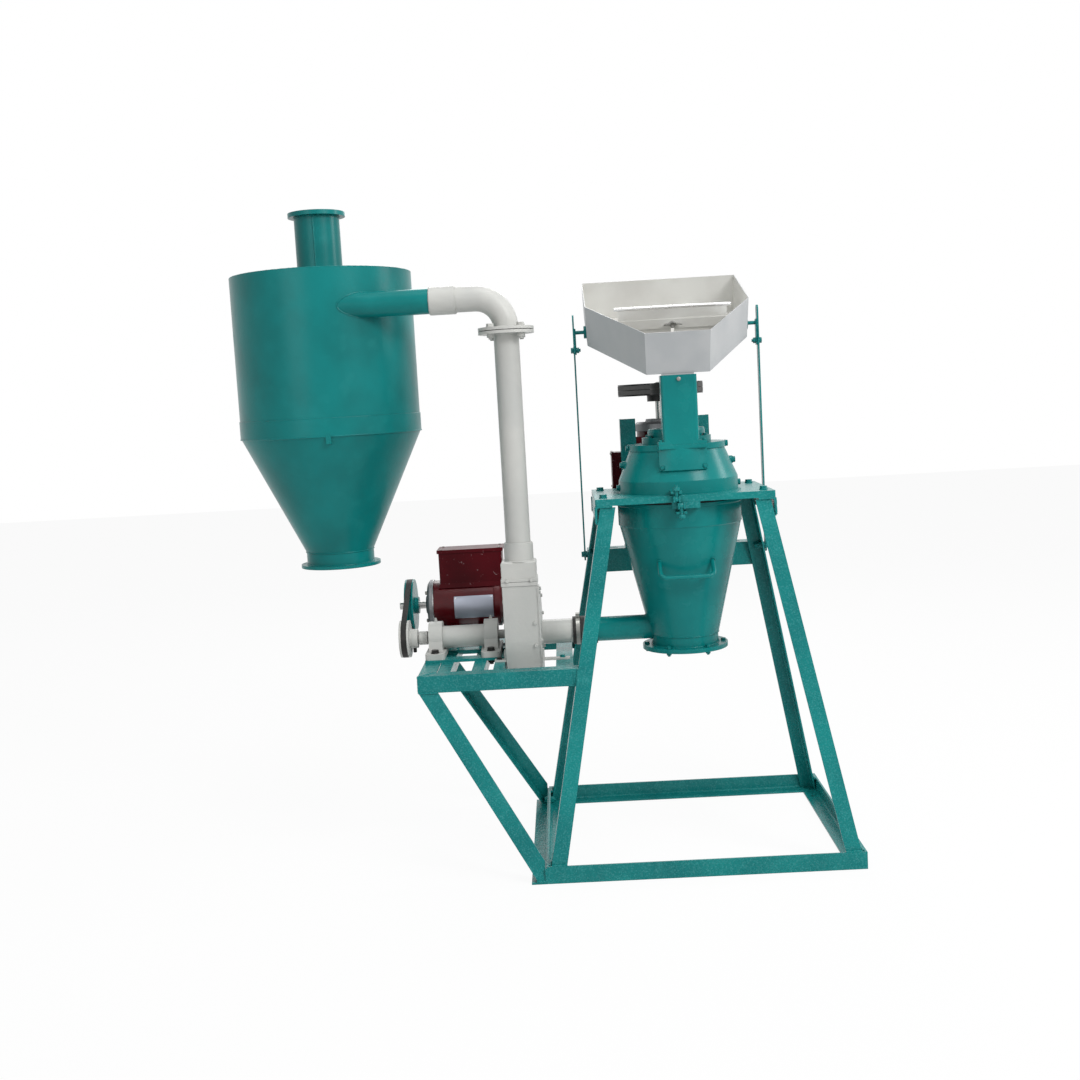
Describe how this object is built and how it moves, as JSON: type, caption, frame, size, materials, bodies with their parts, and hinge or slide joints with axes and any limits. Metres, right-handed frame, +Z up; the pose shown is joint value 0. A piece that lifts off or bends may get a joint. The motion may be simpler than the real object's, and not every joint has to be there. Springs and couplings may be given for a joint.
{
  "type": "spice pulverizer",
  "caption": "Spice pulverizer on an angle-iron stand: domed belt-driven mill over a cone, tray hopper, side shelf with belt-driven blower, and a duct to a hanging cyclone.",
  "frame": {"origin": "centre of the four anchor holes in the stand's base, on the floor plane", "axes": "+X to the right, away from the blower and cyclone; +Y to the back, where the mill motor is; +Z up"},
  "size_m": [1.811, 0.8986, 1.99],
  "materials": {
    "teal_enamel": "gloss teal enamel",
    "grey_paint": "pale warm grey paint",
    "motor_paint": "dark maroon paint",
    "box_paint": "maroon paint",
    "sheet_steel": "plain sheet steel",
    "bright_steel": "turned bright steel",
    "bolt_steel": "zinc plated",
    "rubber": "matt black",
    "iron": "plain cast iron"
  },
  "bodies": {
    "machine": {"base_rails": "teal_enamel", "legs": "teal_enamel", "head_rails": "teal_enamel", "top_plate": "teal_enamel", "motor_frame": "teal_enamel", "frame_bolts": "teal_enamel", "side_frame": "teal_enamel", "shelf_rails": "teal_enamel", "shelf_bars": "teal_enamel", "motor_slide_rails": "teal_enamel", "dome_cover": "teal_enamel", "mill_bolts": "teal_enamel", "bearing_housing": "teal_enamel", "ball_bearings": "bright_steel", "mill_liner": "iron", "mill_screen": "bright_steel", "mill_belts": "rubber", "lower_cone": "teal_enamel", "bottom_cover": "teal_enamel", "gaskets": "rubber", "cone_handle": "teal_enamel", "cone_outlet_pipe": "teal_enamel", "pipe_sleeve": "rubber", "sleeve_clamps": "bright_steel", "clamp_lugs": "teal_enamel", "feed_saddle": "teal_enamel", "feed_chute": "teal_enamel", "mill_motor": "motor_paint", "mill_motor_box": "box_paint", "plummer_blocks": "grey_paint", "shaft_tube": "grey_paint", "blower_casing": "grey_paint", "blower_cover": "grey_paint", "blower_outlet": "grey_paint", "duct_bolts": "grey_paint", "blower_belt": "rubber", "blower_motor": "motor_paint", "blower_motor_box": "box_paint", "riser_pipe": "grey_paint", "elbow": "grey_paint", "cyclone": "teal_enamel"},
    "mill_rotor": {"mill_shaft": "bright_steel", "rotor_disc": "bright_steel", "rotor_beaters": "bright_steel", "mill_pulley": "iron"},
    "mill_motor_spindle": {"mill_motor_rotor": "bright_steel", "mill_motor_pulley": "iron"},
    "blower_rotor": {"blower_shaft": "bright_steel", "blower_impeller": "bright_steel", "blower_pulley": "grey_paint"},
    "blower_motor_spindle": {"blower_motor_rotor": "bright_steel", "blower_motor_pulley": "teal_enamel"},
    "hanger": {"hanger_strips": "teal_enamel", "hanger_bolts": "teal_enamel"},
    "hopper": {"hopper_tray": "sheet_steel", "gate_bar": "sheet_steel", "hopper_brackets": "teal_enamel"},
    "gate": {"hopper_gate": "sheet_steel"},
    "dome_clamp": {"dome_clamp_screw": "teal_enamel"},
    "cone_clamp": {"cone_clamp_screw": "teal_enamel"}
  },
  "joints": [
    {"name": "mill_rotor_spin", "type": "hinge", "parent": "machine", "child": "mill_rotor", "pos_m": [0, 0, 1.2], "axis": [0, 0, 1], "continuous": true},
    {"name": "mill_motor_spin", "type": "hinge", "parent": "machine", "child": "mill_motor_spindle", "pos_m": [-0.014, 0.368, 1.2], "axis": [0, 0, 1], "continuous": true},
    {"name": "blower_rotor_spin", "type": "hinge", "parent": "machine", "child": "blower_rotor", "pos_m": [-0.6, 0, 0.662], "axis": [1, 0, 0], "continuous": true},
    {"name": "blower_motor_spin", "type": "hinge", "parent": "machine", "child": "blower_motor_spindle", "pos_m": [-0.7, 0.202, 0.735], "axis": [1, 0, 0], "continuous": true},
    {"name": "hanger_lean", "type": "hinge", "parent": "machine", "child": "hanger", "pos_m": [0, 0.225, 0.87], "axis": [1, 0, 0], "range_deg": [-1.5, 0.25]},
    {"name": "hopper_tilt", "type": "hinge", "parent": "hanger", "child": "hopper", "pos_m": [0, 0.225, 1.528], "axis": [1, 0, 0], "range_deg": [-3, 0.25]},
    {"name": "gate_slide", "type": "slide", "parent": "hopper", "child": "gate", "axis": [0, -0.3024, 0.9532], "range_m": [0, 0.045]},
    {"name": "dome_clamp_swing", "type": "hinge", "parent": "machine", "child": "dome_clamp", "pos_m": [-0.026, -0.226, 1.07], "axis": [1, 0, 0], "range_deg": [0, 90]},
    {"name": "cone_clamp_swing", "type": "hinge", "parent": "machine", "child": "cone_clamp", "pos_m": [-0.013, -0.226, 1.05], "axis": [-1, 0, 0], "range_deg": [0, 90]}
  ],
  "couplings": [
    {"joint": "mill_rotor_spin", "follows": "mill_motor_spin", "ratio": 1.9444},
    {"joint": "blower_rotor_spin", "follows": "blower_motor_spin", "ratio": 1.4783}
  ]
}
